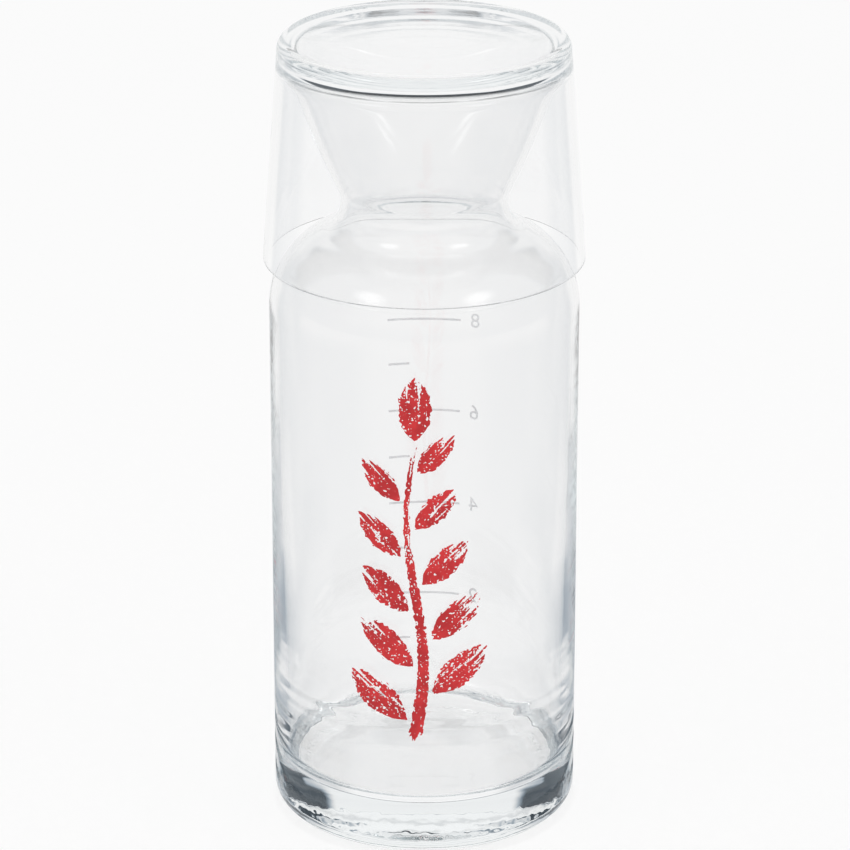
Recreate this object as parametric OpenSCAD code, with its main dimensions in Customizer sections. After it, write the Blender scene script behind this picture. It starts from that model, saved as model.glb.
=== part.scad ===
// Bedside carafe with a tumbler that stands upside down over its neck as a lid.
// Millimetres, +Z up. The origin is the centre of the carafe's foot, and the red print faces -Y.
// Each glass is one closed outline in (radius, height), turned round the Z axis.

/* [Carafe] */
// Outer diameter of the body
carafe_d = 95; // [84:0.5:110]
// Overall height of the carafe, from the foot to the lip of the mouth
carafe_h = 243.6; // [200:0.1:290]
// Thickness of the wall from the shoulder up
carafe_wall = 1.8; // [1.2:0.1:3]
// Thickness of the wall at the floor, to which it grows down the side
low_wall = 4.2; // [2:0.1:6]
// Thickness of the glass under the floor of the carafe
carafe_base_t = 15.5; // [8:0.5:24]
// Rounding of the outer edge at the foot of the carafe
foot_round_r = 6; // [2:0.5:9]
// Rounding between the floor and the wall inside the carafe
floor_round_r = 7; // [3:0.5:12]
// Radius of the shallow hollow under the foot of the carafe
foot_hollow_r = 36; // [20:0.5:37]
// Depth of the shallow hollow under the foot of the carafe
foot_hollow_h = 1.2; // [0.4:0.1:3]

/* [Neck and mouth] */
// Height from the top of the straight side to the lip of the mouth
neck_h = 78.1; // [66:0.1:90]
// Outer radius of the domed shoulder, seen from the side
shoulder_r = 26; // [20:0.5:30]
// Outer diameter of the throat, the narrowest place
throat_d = 50.8; // [40:0.2:60]
// Outer radius of the bend at the throat, seen from the side
throat_bend_r = 10; // [6:0.5:16]
// Outer radius of the slight bow in the flared mouth, seen from the side
mouth_bow_r = 240; // [150:5:600]
// Gap all round between the lip of the mouth and the inside of the tumbler
mouth_play = 1.8; // [1.2:0.1:5]

/* [Tumbler] */
// Outer diameter of the tumbler at its base, measured at the sharp corner
tumbler_foot_d = 88; // [80:0.5:94]
// Overall height of the tumbler
tumbler_h = 69.1; // [50:0.1:74]
// Thickness of the tumbler's wall
tumbler_wall = 1.4; // [1:0.1:2.4]
// Thickness of the tumbler's base
tumbler_base_t = 4.9; // [4:0.1:10]
// Rounding of the outer edge of the tumbler's base
tumbler_edge_r = 3.2; // [1:0.1:4.5]
// Rounding between the floor and the wall inside the tumbler
tumbler_floor_r = 6.5; // [3:0.1:8]
// Radius of the shallow hollow in the tumbler's base
tumbler_hollow_r = 38; // [24:0.5:39]
// Depth of the shallow hollow in the tumbler's base
tumbler_hollow_h = 1.2; // [0.4:0.1:2.5]
// Gap all round between the body and the inside of the tumbler's rim
rim_play = 0.3; // [0.2:0.1:2]
// Gap between the lip of the mouth and the rounded corner of the tumbler that rests on it
seat_gap = 0.2; // [0.1:0.05:0.5]

/* [Front print] */
// Height of the lowest point of the sprig
sprig_z = 41; // [30:0.5:50]
// Gap from the top of the sprig up to the shoulder
sprig_top_gap = 6.5; // [2:0.5:20]
// Width of the stem at its foot
stem_w = 4; // [2:0.1:5]
// Sideways bow of the stem
stem_bow = 2.5; // [0:0.5:5]
// Height from one pair of leaves to the next
leaf_pitch = 18; // [14:0.5:30]
// Length of the lowest and longest leaf
leaf_l = 24; // [16:0.5:26]
// Width of the lowest and longest leaf
leaf_w = 10; // [6:0.5:11]
// Thickness of the fired enamel, also on the scale
print_t = 0.15; // [0.05:0.05:0.4]

/* [Scale on the back] */
// Height of the lowest mark
mark_foot_z = 32; // [24:0.5:50]
// Height from one mark to the next, which holds a tenth of a litre
mark_pitch = 15.9; // [8:0.1:32]
// Least gap from the highest mark up to the shoulder
mark_top_gap = 12; // [4:0.5:30]
// Length of a short mark
short_mark_l = 7; // [4:0.5:12]
// Length of a long mark, at every second step
long_mark_l = 24; // [14:0.5:30]
// Thickness of a mark's line
mark_line = 0.7; // [0.4:0.1:1.2]

/* [Hidden] */

// Sides of each turned surface, as seen in a preview
$fn = 128;
// Straight steps that each rounded stretch of an outline is made of
arc_steps = 14;
// Enamel stands this far off the glass, so that the two solids never cross
print_gap = 0.02;
// Cuts and extrusions run past the surface by this much
overrun = 1;

half_turn = 180;
quarter_turn = 90;

body_r = carafe_d / 2;
inside_r = body_r - carafe_wall;
throat_r = throat_d / 2;
// Height at which the straight side turns into the shoulder
side_h = carafe_h - neck_h;
// Lean of the inner side, which draws in towards the floor
inner_lean = atan((low_wall - carafe_wall) / (side_h - carafe_base_t));

// Lean of the tumbler's wall, from its corner radius at the foot to its rim outside the body
tumbler_foot_r = tumbler_foot_d / 2;
tumbler_rim_r = body_r + rim_play + tumbler_wall;
lean = atan((tumbler_rim_r - tumbler_foot_r) / tumbler_h);

// The lip rests in the rounded corner of the tumbler: how far out and up from that corner's centre
lip_r = carafe_wall / 2;
seat_out = max(0, tumbler_floor_r * (1 - sin(lean)) / cos(lean) - mouth_play - lip_r);
seat_up = sqrt(pow(tumbler_floor_r - lip_r - seat_gap, 2) - pow(seat_out, 2));
seat_rise = tumbler_floor_r - lip_r - seat_up;

// Height of the tumbler's floor, foot and rim, as it stands on the mouth
tumbler_floor_z = carafe_h + seat_rise;
tumbler_foot_z = tumbler_floor_z + tumbler_base_t;
tumbler_rim_z = tumbler_foot_z - tumbler_h;

// Outer radius of the lip, clear of the tumbler's wall at the height of its floor
mouth_r = tumbler_side_r(tumbler_floor_z, tumbler_wall) - mouth_play;

// Centres of the rounded stretches of the neck: each next one is tangent to the one before
shoulder_c = [body_r - shoulder_r, side_h];
throat_x = throat_r + throat_bend_r;
throat_rise = sqrt(pow(shoulder_r + throat_bend_r, 2) - pow(throat_x - shoulder_c.x, 2));
throat_c = [throat_x, side_h + throat_rise];
lip_c = [mouth_r - lip_r, carafe_h - lip_r];
bow_c = circles_meet(throat_c, throat_bend_r + mouth_bow_r, lip_c, mouth_bow_r - lip_r);
floor_round_z = carafe_base_t + floor_round_r;
floor_round_c = [
    inside_r - (side_h - floor_round_z) * tan(inner_lean) - floor_round_r / cos(inner_lean),
    floor_round_z
];

// Directions in which those stretches meet
shoulder_top_a = direction(shoulder_c, throat_c);
bow_foot_a = direction(bow_c, throat_c);
bow_top_a = direction(bow_c, lip_c);

// Direction from one point to another, in degrees
function direction(from, to) = atan2(to.y - from.y, to.x - from.x);
// Point at a distance and a direction from another
function polar(c, r, a) = c + r * [cos(a), sin(a)];
// Points of a circle's arc from one direction to another
function arc(c, r, from, to) = [for (i = [0:arc_steps]) polar(c, r, from + (to - from) * i / arc_steps)];
// Where two circles meet, on the side nearer the Z axis
function circles_meet(a, ra, b, rb) =
    let (gap = norm(b - a), reach = (ra * ra - rb * rb + gap * gap) / (2 * gap))
    polar(a, ra, direction(a, b) + acos(reach / ra));
// Radius of the ball that cuts a hollow of a radius and a depth
function ball_r(r, h) = (r * r + h * h) / (2 * h);
// Radius of the tumbler's side at a height, a depth inside its outer surface
function tumbler_side_r(z, depth) = tumbler_foot_r + (tumbler_foot_z - z) * tan(lean) - depth / cos(lean);

// The carafe: its outer surface from the foot up to the lip, then its inner surface down to the floor
module carafe() {
    hollow_ball_r = ball_r(foot_hollow_r, foot_hollow_h);
    hollow_a = asin(foot_hollow_r / hollow_ball_r);
    hollow_c = [0, foot_hollow_h - hollow_ball_r];
    throat_foot_a = shoulder_top_a + half_turn;
    throat_top_a = bow_foot_a + half_turn;
    color("white", 0.35)
        rotate_extrude()
            polygon(concat(
                arc(hollow_c, hollow_ball_r, quarter_turn, quarter_turn - hollow_a),
                arc([body_r - foot_round_r, foot_round_r], foot_round_r, -quarter_turn, 0),
                arc(shoulder_c, shoulder_r, 0, shoulder_top_a),
                arc(throat_c, throat_bend_r, throat_foot_a, throat_top_a),
                arc(bow_c, mouth_bow_r, bow_foot_a, bow_top_a),
                arc(lip_c, lip_r, bow_top_a, bow_top_a + half_turn),
                arc(bow_c, mouth_bow_r - carafe_wall, bow_top_a, bow_foot_a),
                arc(throat_c, throat_bend_r + carafe_wall, throat_top_a, throat_foot_a),
                arc(shoulder_c, shoulder_r - carafe_wall, shoulder_top_a, 0),
                arc(floor_round_c, floor_round_r, -inner_lean, -quarter_turn),
                [[0, carafe_base_t]]
            ));
}

// The tumbler, upside down: its outer surface from foot to rim, then its inner surface up to the floor
module tumbler() {
    hollow_ball_r = ball_r(tumbler_hollow_r, tumbler_hollow_h);
    hollow_a = asin(tumbler_hollow_r / hollow_ball_r);
    hollow_c = [0, tumbler_foot_z - tumbler_hollow_h + hollow_ball_r];
    edge_z = tumbler_foot_z - tumbler_edge_r;
    rim_round_r = tumbler_wall / 2;
    rim_z = tumbler_rim_z + rim_round_r;
    floor_z = tumbler_floor_z - tumbler_floor_r;
    floor_depth = tumbler_wall + tumbler_floor_r;
    color("white", 0.35)
        rotate_extrude()
            polygon(concat(
                arc(hollow_c, hollow_ball_r, -quarter_turn, hollow_a - quarter_turn),
                arc([tumbler_side_r(edge_z, tumbler_edge_r), edge_z], tumbler_edge_r, quarter_turn, lean),
                arc([tumbler_side_r(rim_z, rim_round_r), rim_z], rim_round_r, lean, lean - half_turn),
                arc([tumbler_side_r(floor_z, floor_depth), floor_z], tumbler_floor_r, lean, quarter_turn),
                [[0, tumbler_floor_z]]
            ));
}

// A flat drawing laid on the body as a thin skin of enamel, at a distance round the body from the front
module enamel(round, z) {
    intersection() {
        rotate([0, 0, round / body_r * half_turn / PI])
            translate([0, 0, z])
                rotate([quarter_turn, 0, 0])
                    linear_extrude(height = body_r + print_t + overrun)
                        children();
        difference() {
            cylinder(r = body_r + print_gap + print_t, h = side_h);
            translate([0, 0, -overrun])
                cylinder(r = body_r + print_gap, h = side_h + 2 * overrun);
        }
    }
}

// One leaf, a lens that grows along +Y from its tip at the origin
module leaf(l, w) {
    side_r = (l * l + w * w) / (4 * w);
    translate([0, l / 2])
        intersection() {
            translate([side_r - w / 2, 0])
                circle(r = side_r);
            translate([w / 2 - side_r, 0])
                circle(r = side_r);
        }
}

// The red sprig on the front: a bowed stem, pairs of leaves that grow shorter, and one leaf at the top
module front_print() {
    print_offset_share = -0.06;
    top_leaf_share = 0.85;
    stem_top_share = 0.32;
    first_pair_share = 0.06;
    stagger_share = 0.5;
    leaf_shrink_share = 0.35;
    low_leaf_a = 50;
    high_leaf_a = 42;
    leaf_gap = stem_w / 3;
    middle = body_r * print_offset_share;
    top_leaf_l = leaf_l * top_leaf_share;
    stem_h = side_h - sprig_top_gap - sprig_z - top_leaf_l - leaf_gap;
    leaf_pairs = floor((1 - first_pair_share) * stem_h / leaf_pitch);
    function bow(share) = stem_bow * sin(2 * half_turn * share);
    function half_w(share) = stem_w / 2 * (1 - (1 - stem_top_share) * share);
    function stem_edge(side, share) = [bow(share) + side * half_w(share), stem_h * share];
    color("firebrick") {
        enamel(middle, sprig_z)
            polygon([
                for (i = [0:arc_steps]) stem_edge(-1, i / arc_steps),
                for (i = [arc_steps:-1:0]) stem_edge(1, i / arc_steps)
            ]);
        enamel(middle, sprig_z + stem_h + leaf_gap)
            leaf(top_leaf_l, leaf_w);
        for (i = [0:leaf_pairs - 1], side = [-1, 1]) {
            rank = (i + (side > 0 ? stagger_share : 0)) / leaf_pairs;
            share = first_pair_share + (1 - first_pair_share) * rank;
            size = 1 - leaf_shrink_share * rank;
            a = low_leaf_a + (high_leaf_a - low_leaf_a) * rank;
            foot = bow(share) + side * (half_w(share) + leaf_gap);
            reach = leaf_l * size * sin(a) / 2;
            enamel(middle + foot + side * reach, sprig_z + stem_h * share)
                translate([-side * reach, 0])
                    rotate(-side * a)
                        leaf(leaf_l * size, leaf_w * size);
        }
    }
}

// The pale scale on the back: a line at each step of volume, and a long one at every second step
module scale_print() {
    mark_count = floor((side_h - mark_top_gap - mark_foot_z) / mark_pitch) + 1;
    for (i = [1:mark_count]) {
        l = i % 2 == 0 ? long_mark_l : short_mark_l;
        side = i % 4 == 0 ? -1 : 1;
        color("gainsboro")
            rotate([0, 0, half_turn])
                enamel(side * (long_mark_l - l) / 2, mark_foot_z + (i - 1) * mark_pitch)
                    square([l, mark_line], center = true);
    }
}

carafe();
tumbler();
front_print();
scale_print();
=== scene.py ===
"""Clear glass carafe with an upturned tumbler over its neck, on a plain white table."""

import math

import bmesh
import bpy
import numpy as np
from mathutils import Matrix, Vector


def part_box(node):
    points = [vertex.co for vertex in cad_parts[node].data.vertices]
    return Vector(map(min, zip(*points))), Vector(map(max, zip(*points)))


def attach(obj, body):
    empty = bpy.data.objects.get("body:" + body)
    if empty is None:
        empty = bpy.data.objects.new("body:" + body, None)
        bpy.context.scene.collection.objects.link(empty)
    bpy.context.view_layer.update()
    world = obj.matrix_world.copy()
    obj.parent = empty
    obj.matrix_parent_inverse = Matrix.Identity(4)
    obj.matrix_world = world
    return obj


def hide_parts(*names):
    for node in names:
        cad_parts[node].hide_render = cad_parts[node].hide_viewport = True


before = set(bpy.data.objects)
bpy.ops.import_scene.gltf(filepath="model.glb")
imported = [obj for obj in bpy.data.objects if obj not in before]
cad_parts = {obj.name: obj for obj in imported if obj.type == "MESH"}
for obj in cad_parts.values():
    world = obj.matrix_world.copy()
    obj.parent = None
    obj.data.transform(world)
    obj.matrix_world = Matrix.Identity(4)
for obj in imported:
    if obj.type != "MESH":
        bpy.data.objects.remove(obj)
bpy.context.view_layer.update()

MM = 0.001
TURN = 2 * math.pi
BODY_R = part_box("carafe")[1].x


# Node helpers
class Tree:
    """Short calls that add nodes to one node tree and return their first output."""

    def __init__(self, tree):
        self.tree = tree
        self.tree.nodes.clear()

    def node(self, kind, inputs=(), **values):
        n = self.tree.nodes.new(kind)
        for key, value in values.items():
            setattr(n, key, value)
        for key, value in dict(inputs).items():
            if isinstance(value, bpy.types.NodeSocket):
                self.tree.links.new(value, n.inputs[key])
            else:
                n.inputs[key].default_value = value
        return n

    def math(self, operation, a, b=0.0, clamp=False):
        return self.node("ShaderNodeMath", {0: a, 1: b}, operation=operation, use_clamp=clamp).outputs[0]

    def times(self, a, b):
        return self.math("MULTIPLY", a, b)

    def plus(self, a, b):
        return self.math("ADD", a, b)

    def far(self, a, b):
        """The distance of the point a, b from the middle."""
        return self.math("SQRT", self.plus(self.times(a, a), self.times(b, b)))

    def axes(self, vector):
        return self.node("ShaderNodeSeparateXYZ", {0: vector}).outputs

    def ramp(self, x, low, high, to_low=0.0, to_high=1.0):
        """x from low to high becomes to_low to to_high, eased and held at the ends."""
        n = self.node("ShaderNodeMapRange", {0: x, 1: low, 2: high, 3: to_low, 4: to_high},
                      interpolation_type="SMOOTHSTEP")
        return n.outputs[0]

    def bands(self, x, first, *steps):
        """A tone that is the first one close by and changes to the next at each (place, half width, tone)."""
        shade = first
        for place, half, tone in steps:
            shade = self.blend(self.ramp(x, place - half, place + half), shade, tone)
        return shade

    def mix(self, share, a, b):
        n = self.node("ShaderNodeMix", {0: share, 6: a, 7: b}, data_type="RGBA")
        return n.outputs[2]

    def blend(self, share, a, b):
        n = self.node("ShaderNodeMix", {0: share, 2: a, 3: b}, data_type="FLOAT")
        return n.outputs[0]

    def noise(self, vector, scale, detail, roughness=0.5):
        inputs = {"Vector": vector, "Scale": scale, "Detail": detail, "Roughness": roughness}
        return self.node("ShaderNodeTexNoise", inputs).outputs["Fac"]

    def stretch(self, vector, scale):
        return self.node("ShaderNodeMapping", {"Vector": vector, "Scale": scale}).outputs[0]

    def bump(self, height, strength=1.0, distance=1.0):
        inputs = {"Strength": strength, "Distance": distance, "Height": height}
        return self.node("ShaderNodeBump", inputs).outputs[0]


def new_material(name):
    material = bpy.data.materials.new(name)
    material.use_nodes = True
    return material, Tree(material.node_tree)


def grey(tone):
    return tone, tone, tone, 1


# Even noise for meshes
def lattice(i, j, seed):
    """Even values from 0 to 1 on a lattice, always the same ones."""
    h = (i.astype(np.int64) * 374761393 + j.astype(np.int64) * 668265263 + seed * 1442695041) & 0x7FFFFFFF
    h = ((h ^ (h >> 13)) * 1274126177) & 0x7FFFFFFF
    h = ((h ^ (h >> 16)) * 974634777) & 0x7FFFFFFF
    return ((h ^ (h >> 15)) & 0xFFFF) / 65535.0


def value_noise(x, y, seed):
    """Smooth values from 0 to 1 that run from each lattice point to the next."""
    i, j = np.floor(x), np.floor(y)
    u, v = x - i, y - j
    u, v = u * u * (3 - 2 * u), v * v * (3 - 2 * v)
    a, b = lattice(i, j, seed), lattice(i + 1, j, seed)
    c, d = lattice(i, j + 1, seed), lattice(i + 1, j + 1, seed)
    return (a * (1 - u) + b * u) * (1 - v) + (c * (1 - u) + d * u) * v


# The studio. Rays that come straight from the camera see white, and the table is white through the glass
# too. A reflected ray sees a studio: a white backdrop, a dark ceiling behind the object, a table with painted
# shadow and painted caustic rings, light and grey, and black flags at the sides that draw the dark edges of
# the glass. A ray that is bent upwards and never reflected sees dark, which draws the tumbler's rim. Light
# scattered from a matt surface comes evenly from all sides, as WHITE_DIFFUSE.
WHITE_DIFFUSE = 0.85

# Tones run from 0, black, to 1, white. A direction's facing is 1 straight behind the object, 0 beside it and
# -1 before it, and its height is the sine of its angle above the table. In a range of facings or heights,
# there is nothing of that part of the studio at the first value, and all of it from the second one on. A pair
# of tones goes with such a range.
BACKDROP_RANGE = (0.76, 0.90)
BACKDROP_TONES = (0.64, 0.94)
ROOM_RANGE = (-0.2, -0.7)
ROOM_HEIGHTS = (0.10, 0.35)
ROOM_TONES = (0.66, 0.86)
FLAG_BACK_RANGE = (0.89, 0.84)
FLAG_FRONT_RANGE = (0.30, 0.42)
FLAG_HEIGHTS = (0.34, 0.42)
FLAG_SLANT_RANGE = (0.77, 0.69)
FLAG_SLANT = 0.16
FLAG_TONE = 0.08
ROOF_HEIGHTS = (0.80, 0.85)
ROOF_RANGE = (0.1, 0.5)
ROOF_TONE = 0.04
BENT_HEIGHTS = (0.20, 0.30)
BENT_RANGE = (0.985, 0.995)
BENT_TONES = (0.05, 0.35)

# A reflection that is dark turns this colour
COOL_COLOUR = (0.80, 0.97, 1.14, 1)
COOL_TONES = (0.9, 0.1)

# The table's painted shadow and painted caustic rings, seen only in reflections, in each direction, from
# straight before the object round to straight behind it: the first tone, then the distance in metres, half
# width and next tone of each change
MIDDLE_RINGS = (0.98, (0.053, 0.002, 0.55), (0.112, 0.004, 0.75), (0.480, 0.050, 0.85))
FRONT_RINGS = (0.76, (0.053, 0.002, 0.04), (0.066, 0.002, 0.42), (0.086, 0.004, 0.04), (0.111, 0.004, 0.66),
               (0.330, 0.030, 0.55), (0.480, 0.050, 0.72), (0.80, 0.20, 0.92))
SIDE_RINGS = (0.80, (0.053, 0.001, 0.10), (0.058, 0.001, 0.85), (0.064, 0.001, 0.10), (0.070, 0.001, 0.85),
              (0.077, 0.001, 0.12), (0.085, 0.001, 0.85), (0.093, 0.002, 0.48), (0.110, 0.004, 0.88),
              (0.138, 0.006, 0.43), (0.205, 0.015, 0.80), (0.330, 0.050, 0.62))
NEAR_RINGS = (0.66, (0.110, 0.010, 0.55), (0.210, 0.020, 0.68), (0.300, 0.040, 0.92))
BACK_RINGS = (0.78, (0.066, 0.003, 0.98), (0.088, 0.006, 0.64), (0.135, 0.010, 0.94))
MIDDLE_RANGE = (-0.6, -0.8)
FRONT_RANGE = (0.28, 0.08)
NEAR_RANGE = (0.66, 0.76)
BACK_RANGE = (0.90, 0.96)
# Painted shade on the table: grey wings close behind the object, to both sides of its middle
WING_ASIDE = (0.065, 0.110)
WING_AWAY = (0.090, 0.084)
WING_TONE = 0.22
# Right behind the foot a painted light ring and, within it, a painted shadow ring that draws a line at the
# front of the foot
FOOT_LIGHT_FROM = (0.0570, 0.0578)
FOOT_LIGHT_TO = (0.0640, 0.0595)
FOOT_LIGHT_TONE = 1.0
FOOT_DARK_TO = (0.0577, 0.0572)
FOOT_DARK_RANGE = (0.9978, 0.9987)
FOOT_DARK_TONE = 0.08

TABLE_R = 6
TABLE_SIDES = 96
TABLE_Z = -0.2 * MM
# Share of the table's white that is lit by the lamps, so that it takes a shadow, and not of its own
MATT_SHARE = 0.25
# Painted contact shadow: under the foot the table is a little darker
CONTACT_SHADOW_RANGE = (0.0468, 0.0490)
CONTACT_SHADOW_TONE = 0.96
GRAIN_SCALE = 260.0
GRAIN_TONE = 0.96


def ray_kinds(t):
    """Sockets that are 1 for a ray that has been reflected, scattered, or bent but not reflected."""
    light = t.node("ShaderNodeLightPath")
    reflected = t.math("GREATER_THAN", light.outputs["Glossy Depth"], 0.5)
    scattered = t.math("GREATER_THAN", light.outputs["Diffuse Depth"], 0.5)
    through = t.math("GREATER_THAN", light.outputs["Transmission Depth"], 0.5)
    bent = t.math("SUBTRACT", through, reflected, clamp=True)
    return reflected, scattered, bent


def cool(t, shade, reflected):
    """As reflected: white where the studio is light, and a little blue where it is dark. Else white."""
    dark = t.times(t.ramp(shade, *COOL_TONES), reflected)
    return t.mix(dark, grey(1), COOL_COLOUR)


def make_world():
    world = bpy.data.worlds.new("studio")
    bpy.context.scene.world = world
    world.use_nodes = True
    world.cycles.sampling_method = "NONE"
    t = Tree(world.node_tree)
    way = t.axes(t.node("ShaderNodeTexCoord").outputs["Generated"])
    height = way[2]
    # How far the direction reaches out level, made a little more so that it is never 0
    level = t.math("SQRT", t.math("SUBTRACT", 1.0001, t.times(height, height)))
    facing = t.math("DIVIDE", way[1], level)
    # White backdrop, greyer at the sides; behind the camera a grey room with light from higher up
    shade = t.ramp(facing, *BACKDROP_RANGE, *BACKDROP_TONES)
    room = t.ramp(height, *ROOM_HEIGHTS, *ROOM_TONES)
    shade = t.blend(t.ramp(facing, *ROOM_RANGE), shade, room)
    # A black flag to each side behind the object, lower where it is further round, and a dark ceiling behind
    slant = t.plus(height, t.ramp(facing, *FLAG_SLANT_RANGE, 0.0, FLAG_SLANT))
    flag = t.times(t.ramp(facing, *FLAG_BACK_RANGE), t.ramp(facing, *FLAG_FRONT_RANGE))
    flag = t.times(flag, t.ramp(slant, *FLAG_HEIGHTS))
    shade = t.blend(flag, shade, FLAG_TONE)
    roof = t.times(t.ramp(height, *ROOF_HEIGHTS), t.ramp(facing, *ROOF_RANGE))
    shade = t.blend(roof, shade, ROOF_TONE)
    reflected, scattered, bent = ray_kinds(t)
    high_bent = t.times(bent, t.ramp(height, *BENT_HEIGHTS))
    straight = t.blend(high_bent, 1.0, t.ramp(facing, *BENT_RANGE, *BENT_TONES))
    shade = t.blend(reflected, straight, shade)
    shade = t.blend(scattered, shade, WHITE_DIFFUSE)
    background = t.node("ShaderNodeBackground", {"Color": cool(t, shade, reflected), "Strength": shade})
    t.node("ShaderNodeOutputWorld", {"Surface": background.outputs[0]})


def reflected_table(t, place):
    """The table's tone as reflected in the glass: painted shadow and caustic rings, light and grey, other
    ones in each direction.
    """
    away = t.far(place[0], place[1])
    divisor = t.math("MAXIMUM", away, MM)
    facing = t.math("DIVIDE", place[1], divisor)
    aside = t.math("DIVIDE", t.math("ABSOLUTE", place[0]), divisor)
    front = t.blend(t.ramp(facing, *MIDDLE_RANGE), t.bands(away, *FRONT_RINGS), t.bands(away, *MIDDLE_RINGS))
    shade = t.blend(t.ramp(facing, *FRONT_RANGE), t.bands(away, *SIDE_RINGS), front)
    shade = t.blend(t.ramp(facing, *NEAR_RANGE), shade, t.bands(away, *NEAR_RINGS))
    # Painted shade in grey wings behind the object, and a painted light ring and painted shadow ring right
    # behind the foot
    wings = t.times(t.ramp(aside, *WING_ASIDE), t.ramp(away, *WING_AWAY))
    foot_light = t.times(t.ramp(away, *FOOT_LIGHT_FROM), t.ramp(away, *FOOT_LIGHT_TO))
    foot_dark = t.times(t.ramp(away, *FOOT_DARK_TO), t.ramp(facing, *FOOT_DARK_RANGE))
    back = t.blend(wings, t.bands(away, *BACK_RINGS), WING_TONE)
    back = t.blend(foot_light, back, FOOT_LIGHT_TONE)
    back = t.blend(foot_dark, back, FOOT_DARK_TONE)
    return t.blend(t.ramp(facing, *BACK_RANGE), shade, back)


def make_table():
    bpy.ops.mesh.primitive_circle_add(vertices=TABLE_SIDES, radius=TABLE_R, fill_type="NGON",
                                      location=(0, 0, TABLE_Z))
    table = bpy.context.object
    table.name = "floor"
    material, t = new_material("white_table")
    place = t.axes(t.node("ShaderNodeNewGeometry").outputs["Position"])
    reflected, scattered, _ = ray_kinds(t)
    away = t.far(place[0], place[1])
    # Painted contact shadow under the foot, for rays from the camera and through the glass
    seen = t.ramp(away, *CONTACT_SHADOW_RANGE, CONTACT_SHADOW_TONE - MATT_SHARE, 1.0 - MATT_SHARE)
    # Reflected rays see the table's painted shadow and caustic rings
    shade = t.blend(reflected, seen, reflected_table(t, place))
    shade = t.blend(scattered, shade, WHITE_DIFFUSE)
    # The table's own glow gives its even white, with the painted shadow and rings in it
    glow = t.node("ShaderNodeEmission", {"Color": cool(t, shade, reflected), "Strength": shade})
    grain = t.noise(t.node("ShaderNodeTexCoord").outputs["Object"], GRAIN_SCALE, 3.0)
    colour = t.mix(grain, grey(MATT_SHARE), grey(GRAIN_TONE * MATT_SHARE))
    matt = t.node("ShaderNodeBsdfDiffuse", {"Color": colour})
    dark = t.node("ShaderNodeEmission", {"Strength": 0.0})
    # The lamps light the table only as it is seen, so that their pools don't show in the glass
    lit = t.node("ShaderNodeMixShader", {0: reflected, 1: matt.outputs[0], 2: dark.outputs[0]})
    both = t.node("ShaderNodeAddShader", {0: glow.outputs[0], 1: lit.outputs[0]})
    t.node("ShaderNodeOutputMaterial", {"Surface": both.outputs[0]})
    table.data.materials.append(material)


SOFTBOX_ASIDE = 0.71
SOFTBOX_BEFORE = 0.50
SOFTBOX_UP = 1.12
SOFTBOX_TARGET = (0, 0, 0.15)
SOFTBOX_SIZE = (0.7, 0.46)
SOFTBOX_POWER = 2.0
# A lamp is dark at the first distance from its middle and full at the second, as shares of its size
SOFTBOX_FADE = (0.5, 0.1)


def softbox(name, side):
    """A lamp to one side before the object, bright in its middle: it shows as a soft light in the glass."""
    data = bpy.data.lights.new(name, "AREA")
    data.shape = "RECTANGLE"
    data.size, data.size_y = SOFTBOX_SIZE
    data.energy = SOFTBOX_POWER
    data.use_nodes = True
    t = Tree(data.node_tree)
    at = t.axes(t.node("ShaderNodeNewGeometry").outputs["Parametric"])
    off = t.far(t.math("SUBTRACT", at[0], 0.5), t.math("SUBTRACT", at[1], 0.5))
    glow = t.node("ShaderNodeEmission", {"Strength": t.ramp(off, *SOFTBOX_FADE)})
    t.node("ShaderNodeOutputLight", {"Surface": glow.outputs[0]})
    lamp = bpy.data.objects.new(name, data)
    place = (side * SOFTBOX_ASIDE, -SOFTBOX_BEFORE, SOFTBOX_UP)
    lamp.location = place
    lamp.rotation_euler = (Vector(SOFTBOX_TARGET) - Vector(place)).to_track_quat("-Z", "Y").to_euler()
    lamp.visible_camera = False
    bpy.context.collection.objects.link(lamp)


# The two glasses. Their outlines are in metres.
CORNER_CUT = 0.6 * MM
LONG_STRETCH = 3 * MM
STRETCH_EDGE = 0.4 * MM

# Soft rings in the lower part of the body's inner wall
RINGS_LOW = 18 * MM
RINGS_TOP = 75 * MM
RINGS_FADE_LOW = 6 * MM
RINGS_FADE_TOP = 45 * MM
RING_DEPTH = 0.13 * MM
RING_PITCH = 2.9 * MM
RING_STEP = 0.6 * MM
# How fast the rings change round the wall, and how much of a pitch the first ones rise and fall there
RING_CHANGE = 1.3
RING_SWAY = 0.25
# Second rings to each of the first ones
SECOND_RINGS = 1.37

SEGMENTS = 288
# A point of the CAD mesh is on its seam within this distance, and two points are one to this many decimals
SEAM_REACH = 1e-7
SEAM_DECIMALS = 6


def outline_of(node):
    """The (radius, height) outline of a turned CAD node, from the axis out and back to it, along its seam."""
    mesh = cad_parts[node].data
    seam = [v for v in mesh.vertices if abs(v.co.y) < SEAM_REACH and v.co.x > -SEAM_REACH]
    key = {v.index: (round(v.co.x, SEAM_DECIMALS), round(v.co.z, SEAM_DECIMALS)) for v in seam}
    near = {}
    for e in mesh.edges:
        a, b = e.vertices
        if a in key and b in key and key[a] != key[b]:
            near.setdefault(key[a], set()).add(key[b])
            near.setdefault(key[b], set()).add(key[a])
    ends = sorted((p for p in near if len(near[p]) == 1), key=lambda p: p[1])
    if len(ends) != 2 or any(len(n) > 2 for n in near.values()):
        raise ValueError(f"the outline of {node} isn't one open line")
    line, last = [ends[0]], None
    while line[-1] != ends[1]:
        step = [p for p in near[line[-1]] if p != last]
        last = line[-1]
        line.append(step[0])
    return np.array(line)


def cut_corners(line):
    """Rounds the small corners of an outline, and keeps its ends and its long straight stretches."""
    for reach in (CORNER_CUT, CORNER_CUT / 2):
        out = [line[0]]
        for a, b in zip(line[:-1], line[1:]):
            length = np.linalg.norm(b - a)
            cut = min(length / 4, reach)
            out += [a + (b - a) * cut / length, b + (a - b) * cut / length]
        out[1] = (line[0] + out[1]) / 2
        line = np.array(out + [line[-1]])
    return line


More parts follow.
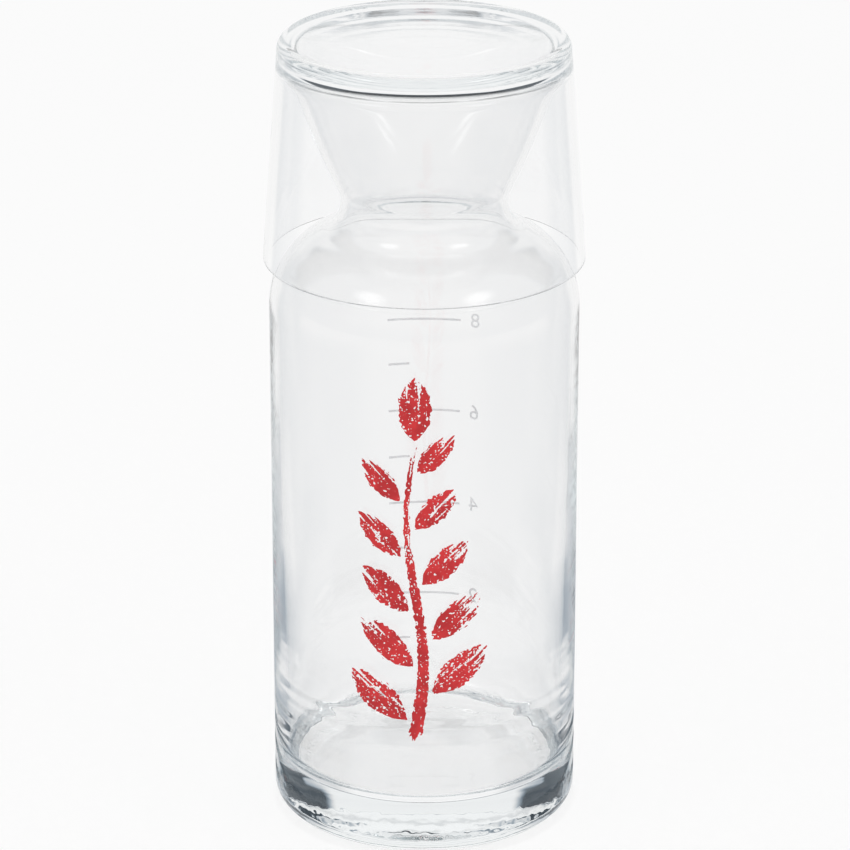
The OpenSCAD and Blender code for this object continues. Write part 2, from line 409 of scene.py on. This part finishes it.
def hold_straights(line):
    """Adds a point near each end of a long stretch, so that smooth shading stays flat along it."""
    out = [line[0]]
    for a, b in zip(line[:-1], line[1:]):
        length = np.linalg.norm(b - a)
        if length > LONG_STRETCH:
            out += [a + (b - a) * STRETCH_EDGE / length, b + (a - b) * STRETCH_EDGE / length]
        out.append(b)
    return np.array(out)


def divide_low_wall(line):
    """Adds points along the lower part of the inner wall of the body, close enough to carry its rings."""
    top = RINGS_TOP + MM
    out = [line[0]]
    for a, b in zip(line[:-1], line[1:]):
        length = np.linalg.norm(b - a)
        steep = abs(b[1] - a[1]) > length / 2
        inner = max(a[0], b[0]) < BODY_R - MM
        if steep and inner and length > RING_STEP and min(a[1], b[1]) < top:
            count = math.ceil(length / RING_STEP)
            between = [a + (b - a) * i / count for i in range(1, count)]
            out += [p for p in between if p[1] < top]
        out.append(b)
    return np.array(out)


def low_rings(r, z, angles):
    """How far the inner wall stands in or out at each angle: soft uneven rings that fade out upwards."""
    if r > BODY_R - MM or not RINGS_LOW < z < RINGS_TOP:
        return np.zeros(len(angles))
    ease = min(1, (z - RINGS_LOW) / RINGS_FADE_LOW) * min(1, (RINGS_TOP - z) / RINGS_FADE_TOP) ** 1.5
    level = np.full(len(angles), z / RING_PITCH)
    wave = value_noise(RING_CHANGE * np.cos(angles) + 7, level + RING_SWAY * np.sin(angles), 61)
    wave = wave + value_noise(RING_CHANGE * np.sin(angles) + 31, SECOND_RINGS * level, 67)
    return RING_DEPTH * ease * (wave - 1)


def turned(name, line, rings):
    """A closed turned mesh from an outline that starts and ends on the axis."""
    inner = line[1:-1]
    angles = np.arange(SEGMENTS) * TURN / SEGMENTS
    verts = [(0, 0, line[0][1])]
    for r, z in inner:
        reach = r + (low_rings(r, z, angles) if rings else 0 * angles)
        verts += [(q * math.cos(a), q * math.sin(a), z) for q, a in zip(reach, angles)]
    verts.append((0, 0, line[-1][1]))
    faces = []
    for i in range(SEGMENTS):
        j = (i + 1) % SEGMENTS
        faces.append((0, 1 + j, 1 + i))
        for k in range(len(inner) - 1):
            low, high = 1 + k * SEGMENTS, 1 + (k + 1) * SEGMENTS
            faces.append((low + i, low + j, high + j, high + i))
        top = 1 + (len(inner) - 1) * SEGMENTS
        faces.append((top + i, top + j, len(verts) - 1))
    mesh = bpy.data.meshes.new(name)
    mesh.from_pydata(verts, [], faces)
    bm = bmesh.new()
    bm.from_mesh(mesh)
    bmesh.ops.recalc_face_normals(bm, faces=bm.faces)
    bm.to_mesh(mesh)
    bm.free()
    mesh.shade_smooth()
    obj = bpy.data.objects.new(name, mesh)
    bpy.context.collection.objects.link(obj)
    return obj


GLASS_IOR = 1.5
GLASS_TINT = (0.78, 0.86, 0.87, 1)
GLASS_TINT_DENSITY = 3.0
# Shares of a glass's own number of waves to the metre: round it, up it, and for the finer waves
WAVES_ROUND = 0.6
WAVES_UP = 1.5
FINE_WAVES = 5
# Height of the finer waves as a share of the slow ones' height
FINE_HEIGHT = 0.06
# The carafe's foot: a lumpy ring under it, all round but for the front, and dents low in the outer wall
LUMP_FROM_R = (36 * MM, 39 * MM)
LUMP_BELOW_Z = (4 * MM, 2 * MM)
LUMP_BEHIND_Y = (-36 * MM, -26 * MM)
LUMP_SCALE = 230.0
LUMP_SHARE = 1.3
DENT_FROM_R = (45.5 * MM, 46.5 * MM)
DENT_BELOW_Z = (17 * MM, 12 * MM)
DENT_SCALE = 260.0
DENT_SHARE = 0.35
UNEVEN_HEIGHT = 0.35 * MM


def uneven_base(t, place):
    """The height of the unevenness that pressing leaves in the thick base, as a bump."""
    at = t.axes(place)
    away = t.far(at[0], at[1])
    under = t.times(t.ramp(away, *LUMP_FROM_R), t.ramp(at[2], *LUMP_BELOW_Z))
    under = t.times(under, t.ramp(at[1], *LUMP_BEHIND_Y))
    lumps = t.times(t.noise(place, LUMP_SCALE, 1.0), under)
    outer = t.times(t.ramp(away, *DENT_FROM_R), t.ramp(at[2], *DENT_BELOW_Z))
    dents = t.times(t.noise(place, DENT_SCALE, 1.0), t.times(outer, DENT_SHARE))
    return t.times(t.plus(t.times(lumps, LUMP_SHARE), dents), UNEVEN_HEIGHT)


def glass(name, clearness, waves, wave_height, uneven=False):
    """Clear glass with a faint tint in its depth, hardly visible waves and, if asked, an uneven base."""
    material, t = new_material(name)
    place = t.node("ShaderNodeTexCoord").outputs["Object"]
    # Slow waves lie round the glass, as a turned mould leaves them, under finer and shallower ones
    around = waves * WAVES_ROUND
    slow = t.noise(t.stretch(place, (around, around, waves * WAVES_UP)), 1.0, 1.0)
    fine = t.noise(place, waves * FINE_WAVES, 2.0)
    height = t.times(t.plus(slow, t.times(fine, FINE_HEIGHT)), wave_height)
    if uneven:
        height = t.plus(height, uneven_base(t, place))
    skin = t.node("ShaderNodeBsdfPrincipled", {
        "Base Color": grey(clearness), "Roughness": 0.0, "IOR": GLASS_IOR, "Transmission Weight": 1.0,
        "Normal": t.bump(height)})
    depth = t.node("ShaderNodeVolumeAbsorption", {"Color": GLASS_TINT, "Density": GLASS_TINT_DENSITY})
    t.node("ShaderNodeOutputMaterial", {"Surface": skin.outputs[0], "Volume": depth.outputs[0]})
    return material


def make_glass(node, material, rings=False):
    line = hold_straights(cut_corners(outline_of(node)))
    if rings:
        line = divide_low_wall(line)
    obj = turned(node + "_body", line, rings)
    obj.data.materials.append(material)
    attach(obj, node)
    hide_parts(node)


# The prints. Flat points on the unrolled body are in mm: round the body from the middle of the print, and up.
PRINT_GAP = 0.02 * MM
PRINT_T = 0.1 * MM

# The grid that the sprig is cut on, a little larger than the sprig
GRID_STEP = 0.24
GRID_ROUND = (-27.0, 22.0)
GRID_UP = (38.0, 162.0)

# The sprig, as in the CAD
SPRIG_MIDDLE = -2.85
STEM_W = 4.0
STEM_TOP_SHARE = 0.32
STEM_BOW = 2.5
LEAF_L = 24.0
LEAF_W = 10.0
LEAF_PAIRS = 5
LEAF_GAP = STEM_W / 3
LEAF_SHRINK = 0.35
LOW_LEAF_A = 50
HIGH_LEAF_A = 42
TOP_LEAF_L = LEAF_L * 0.85
FIRST_PAIR = 0.06
STAGGER = 0.5

# The brush: how large its streaks, its finer streaks and its specks are across and along a stroke
STREAK = (0.6, 8.0)
FINE_STREAK = (0.35, 3.5)
FINE_SHARE = 0.4
SPECK = (0.38, 0.44)
SPECK_SHARE = 0.2
# How ragged a stroke's edge is: the size of its notches, and their depth, limited by the stroke's half width
RAGGED_ALONG = 0.9
RAGGED_ACROSS = 5.0
RAGGED_DEPTH = 0.9
RAGGED_SHARE = 0.6
# How far the streaks fray the stroke's start and end
FRAY_START = 2.0
FRAY_END = 3.0
# How dry the brush is in a stroke, from its start, and how that grows towards its end and at its rim
STEM_DRY = 0.30
LEAF_DRY = 0.40
DRY_START = 0.45
DRY_GROWTH = 0.75
DRY_POWER = 1.6
RIM_DRY = 0.10
RIM_WIDTH = 0.6
# Specks above this stay bare, the more so where the brush is dry
SPECK_LIMIT = 0.70
SPECK_STREAK = 0.30
# Millimetres that one unit of cover counts for, beside the distance to the stroke's edge
COVER_SLOPE = 2.5

ENAMEL_IOR = 1.38
ENAMEL_ROUGHNESS = (0.42, 0.58)
PATCH_SCALE = 160.0
ENAMEL_GRAIN_SCALE = 2400.0
ENAMEL_BUMP = 0.06 * MM
ENAMEL_BUMP_STRENGTH = 0.35
RED = (0.49, 0.019, 0.023, 1), (0.66, 0.031, 0.035, 1)
PALE = (0.73, 0.74, 0.75, 1), (0.80, 0.81, 0.82, 1)

# The scale's lowest mark and the step from mark to mark, as in the CAD: a digit stands at every second mark
MARK_FOOT_Z = 32
MARK_PITCH = 15.9
DIGITS = (2, 4, 6, 8)
DIGIT_SIZE = 7.0
DIGIT_ASIDE = -17.0


def brushed(across, along, length, half_width, dry, seed):
    """How far inside a dry brush stroke each point is, in mm: frayed, ragged, with bare streaks along it."""
    def grain(size, salt):
        return value_noise(across / size[0], along / size[1], seed + salt)

    share = np.clip(along / length, 0, 1)
    streak = (1 - FINE_SHARE) * grain(STREAK, 0) + FINE_SHARE * grain(FINE_STREAK, 1)
    speck = grain(SPECK, 2)
    ragged = value_noise(along / RAGGED_ALONG, across / RAGGED_ACROSS, seed + 3) - 0.5
    fray = 2 * streak - 1
    ends = np.minimum(along + FRAY_START * fray, length - along + FRAY_END * fray)
    half = half_width(share)
    rim = half - np.abs(across)
    inside = np.minimum(rim + np.minimum(RAGGED_DEPTH, RAGGED_SHARE * half) * ragged, ends)
    # The brush runs dry towards the end of its stroke and along its rim
    bare = dry * (DRY_START + DRY_GROWTH * share ** DRY_POWER)
    bare = bare + RIM_DRY * np.exp(-np.maximum(rim, 0) / RIM_WIDTH)
    streaked = (1 - SPECK_SHARE) * streak + SPECK_SHARE * speck - bare
    specked = SPECK_LIMIT - speck + SPECK_STREAK * (streak - bare)
    return np.minimum(inside, np.minimum(streaked, specked) * COVER_SLOPE)


def leaf(x, y, angle, length, width, seed):
    """A lens that grows from the origin at an angle from straight up: above 0 where there is enamel."""
    along = x * math.sin(angle) + y * math.cos(angle)
    across = x * math.cos(angle) - y * math.sin(angle)
    side_r = (length * length + width * width) / (4 * width)

    def half_width(share):
        reach = np.clip(share - 0.5, -0.5, 0.5) * length
        return np.sqrt(side_r * side_r - reach * reach) - side_r + width / 2

    return brushed(across, along, length, half_width, LEAF_DRY, seed)


def sprig_field(u, z):
    """The sprig on the unrolled body in mm: above 0 where there is enamel."""
    box_low, box_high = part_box("front_print")
    foot, top = box_low.z / MM, box_high.z / MM
    stem_h = top - foot - TOP_LEAF_L - LEAF_GAP
    x, y = u - SPRIG_MIDDLE, z - foot

    def bow(share):
        return STEM_BOW * np.sin(TURN * share)

    def stem_half(share):
        return STEM_W / 2 * (1 - (1 - STEM_TOP_SHARE) * share)

    field = brushed(x - bow(y / stem_h), y, stem_h, stem_half, STEM_DRY, 5)
    field = np.maximum(field, leaf(x, y - (stem_h + LEAF_GAP), 0.0, TOP_LEAF_L, LEAF_W, 11))
    for i in range(LEAF_PAIRS):
        for side in (-1, 1):
            rank = (i + (STAGGER if side > 0 else 0)) / LEAF_PAIRS
            share = FIRST_PAIR + (1 - FIRST_PAIR) * rank
            scale = 1 - LEAF_SHRINK * rank
            angle = side * math.radians(LOW_LEAF_A + (HIGH_LEAF_A - LOW_LEAF_A) * rank)
            start = bow(share) + side * (stem_half(share) + LEAF_GAP)
            seed = 20 + 7 * i + 3 * side
            one = leaf(x - start, y - stem_h * share, angle, LEAF_L * scale, LEAF_W * scale, seed)
            field = np.maximum(field, one)
    return field


def contour_mesh(us, zs, field):
    """Flat polygons where the field is above 0, cut along the line where it is 0."""
    # A cut stays this share of a step away from the grid's points, so that no face is too thin
    least = 0.08
    points = []
    index = {}
    faces = []

    def point(key, at):
        if key not in index:
            index[key] = len(points)
            points.append(at)
        return index[key]

    inside = field > 0
    some = inside[:-1, :-1] | inside[1:, :-1] | inside[:-1, 1:] | inside[1:, 1:]
    for i, j in zip(*np.nonzero(some)):
        corners = [(i, j), (i + 1, j), (i + 1, j + 1), (i, j + 1)]
        face = []
        for a, b in zip(corners, corners[1:] + corners[:1]):
            fa, fb = field[a], field[b]
            if fa > 0:
                face.append(point(a, (us[a[0]], zs[a[1]])))
            if (fa > 0) != (fb > 0):
                s = min(max(fa / (fa - fb), least), 1 - least)
                if a > b:
                    a, b, s = b, a, 1 - s
                at = (us[a[0]] + (us[b[0]] - us[a[0]]) * s, zs[a[1]] + (zs[b[1]] - zs[a[1]]) * s)
                face.append(point((a, b), at))
        if len(face) > 2:
            faces.append(face)
    return points, faces


def on_body(name, points, faces, start=0.0):
    """A skin of enamel on the outside of the body, from flat points round it from the angle start, and up."""
    count = len(points)
    verts = []
    for lift in (PRINT_GAP, PRINT_GAP + PRINT_T):
        r = BODY_R + lift
        for u, z in points:
            a = u * MM / BODY_R + start
            verts.append((r * math.sin(a), -r * math.cos(a), z * MM))
    all_faces = [tuple(reversed(f)) for f in faces] + [tuple(v + count for v in f) for f in faces]
    edges = dict.fromkeys(edge for f in faces for edge in zip(f, f[1:] + f[:1]))
    all_faces += [(a, b, b + count, a + count) for a, b in edges if (b, a) not in edges]
    mesh = bpy.data.meshes.new(name)
    mesh.from_pydata(verts, [], all_faces)
    mesh.validate()
    obj = bpy.data.objects.new(name, mesh)
    bpy.context.collection.objects.link(obj)
    return obj


def enamel(name, dark, light):
    """Fired enamel: satin, a little uneven in colour and gloss."""
    material, t = new_material(name)
    place = t.node("ShaderNodeTexCoord").outputs["Object"]
    patches = t.noise(place, PATCH_SCALE, 3.0, 0.6)
    grain = t.noise(place, ENAMEL_GRAIN_SCALE, 2.0)
    skin = t.node("ShaderNodeBsdfPrincipled", {
        "Base Color": t.mix(t.ramp(patches, 0.35, 0.65), dark, light),
        "Roughness": t.ramp(grain, 0.3, 0.7, *ENAMEL_ROUGHNESS), "IOR": ENAMEL_IOR,
        "Normal": t.bump(grain, ENAMEL_BUMP_STRENGTH, ENAMEL_BUMP)})
    t.node("ShaderNodeOutputMaterial", {"Surface": skin.outputs[0]})
    return material


def make_sprig():
    us = np.arange(*GRID_ROUND, GRID_STEP)
    zs = np.arange(*GRID_UP, GRID_STEP)
    field = sprig_field(*np.meshgrid(us, zs, indexing="ij"))
    sprig = on_body("sprig", *contour_mesh(us, zs, field))
    sprig.data.materials.append(enamel("red_enamel", *RED))
    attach(sprig, "carafe")
    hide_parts("front_print")


def flat_digit(number):
    """The points and faces of a digit beside its mark, flat and seen from its front."""
    height = MARK_FOOT_Z + (number - 1) * MARK_PITCH
    text = bpy.data.curves.new(f"digit_{number}", "FONT")
    text.body = str(number)
    text.size = DIGIT_SIZE
    text.align_x = "CENTER"
    text.align_y = "CENTER"
    flat = bpy.data.objects.new(f"digit_{number}_flat", text)
    bpy.context.collection.objects.link(flat)
    bpy.context.view_layer.update()
    shape = bpy.data.meshes.new_from_object(flat.evaluated_get(bpy.context.evaluated_depsgraph_get()))
    bpy.data.objects.remove(flat)
    bm = bmesh.new()
    bm.from_mesh(shape)
    bmesh.ops.remove_doubles(bm, verts=bm.verts, dist=1e-4)
    bmesh.ops.recalc_face_normals(bm, faces=bm.faces)
    flip = sum(f.normal.z for f in bm.faces) < 0
    points = [(v.co.x + DIGIT_ASIDE, v.co.y + height) for v in bm.verts]
    faces = [[v.index for v in (reversed(f.verts) if flip else f.verts)] for f in bm.faces]
    bm.free()
    return points, faces


def make_scale():
    pale = enamel("pale_enamel", *PALE)
    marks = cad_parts["scale_print"]
    marks.data.materials.clear()
    marks.data.materials.append(pale)
    for number in DIGITS:
        digit = on_body(f"digit_{number}", *flat_digit(number), start=math.pi)
        digit.data.materials.append(pale)
        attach(digit, "carafe")


# Camera and render settings
CAMERA_PLACE = (0.0002, -1.2140, 0.6029)
CAMERA_TARGET = (0.0002, 0, 0.1252)
CAMERA_LENS = 178.5
CAMERA_SENSOR = 36
CAMERA_CLIP = (0.1, 30)
# Enough for the many walls that a ray meets in two glasses, one inside the other
GLASS_BOUNCES = 96


def make_camera():
    data = bpy.data.cameras.new("camera")
    data.lens = CAMERA_LENS
    data.sensor_width = CAMERA_SENSOR
    data.clip_start, data.clip_end = CAMERA_CLIP
    camera = bpy.data.objects.new("camera", data)
    camera.location = CAMERA_PLACE
    camera.rotation_euler = (Vector(CAMERA_TARGET) - camera.location).to_track_quat("-Z", "Y").to_euler()
    bpy.context.collection.objects.link(camera)
    bpy.context.scene.camera = camera


def make_settings():
    scene = bpy.context.scene
    scene.view_settings.view_transform = "Standard"
    cycles = scene.cycles
    cycles.max_bounces = GLASS_BOUNCES
    cycles.transmission_bounces = GLASS_BOUNCES
    cycles.glossy_bounces = GLASS_BOUNCES
    cycles.transparent_max_bounces = 16
    cycles.diffuse_bounces = 4
    cycles.blur_glossy = 0.0
    cycles.use_denoising = True


make_world()
make_table()
softbox("softbox_left", -1)
softbox("softbox_right", 1)
carafe_glass = glass("carafe_glass", clearness=0.975, waves=30.0, wave_height=0.12 * MM, uneven=True)
tumbler_glass = glass("tumbler_glass", clearness=0.998, waves=34.0, wave_height=0.08 * MM)
make_glass("carafe", carafe_glass, rings=True)
make_glass("tumbler", tumbler_glass)
make_sprig()
make_scale()
make_camera()
make_settings()
